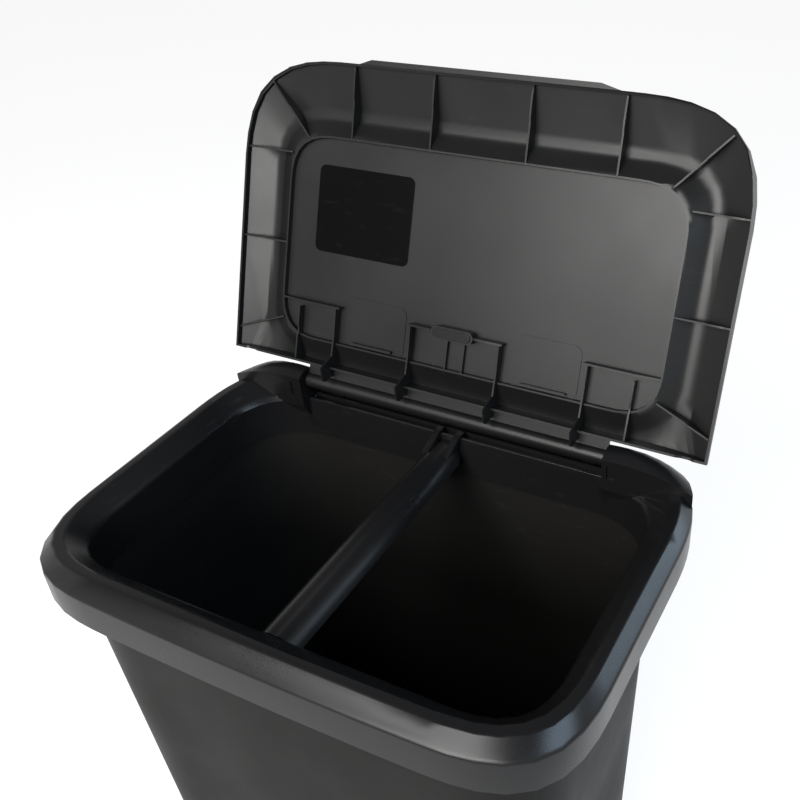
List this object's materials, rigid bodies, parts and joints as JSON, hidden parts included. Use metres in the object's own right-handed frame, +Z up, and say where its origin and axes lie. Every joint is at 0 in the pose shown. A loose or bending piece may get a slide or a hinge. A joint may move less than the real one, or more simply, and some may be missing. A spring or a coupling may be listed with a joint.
{
  "type": "double recycling bin",
  "caption": "Tall tapered plastic bin with a moulded collar, a lift-out rail that parts the mouth into halves, and a broad lid hinged at the rear",
  "frame": {"origin": "on the flat underside that the bin stands on, midway between its sides and a little behind its middle", "axes": "+X to the bin's right side, -Y to the front, where the lid is lifted, +Z up; the hinge axis runs along X at the rear"},
  "size_m": [0.554, 0.4694, 0.9224],
  "materials": {
    "body_plastic": "black injection-moulded polypropylene, fine satin grain",
    "collar_plastic": "black injection-moulded polypropylene, smooth satin",
    "rail_plastic": "black moulded plastic, smooth satin",
    "pin_plastic": "black acetal pin, smooth",
    "lid_plastic": "black injection-moulded polypropylene, satin, smooth ribs",
    "plate_gloss": "glossy black film plate, left bare",
    "badge_plastic": "black moulded oval badge, left bare"
  },
  "bodies": {
    "bin": {"bin_body": "body_plastic", "rim_collar": "collar_plastic", "hinge_pin_left": "pin_plastic", "hinge_pin_right": "pin_plastic"},
    "lid": {"lid_shell": "lid_plastic", "instruction_plate": "plate_gloss", "ledge_badge": "badge_plastic"},
    "divider": {"divider_rail": "rail_plastic"}
  },
  "joints": [
    {"name": "lid_hinge", "type": "hinge", "parent": "bin", "child": "lid", "pos_m": [0, 0.152, 0.608], "axis": [1, 0, 0], "range_deg": [0, 112.2]},
    {"name": "rail_lift", "type": "slide", "parent": "bin", "child": "divider", "axis": [0, 0, 1], "range_m": [0, 0.01]}
  ]
}
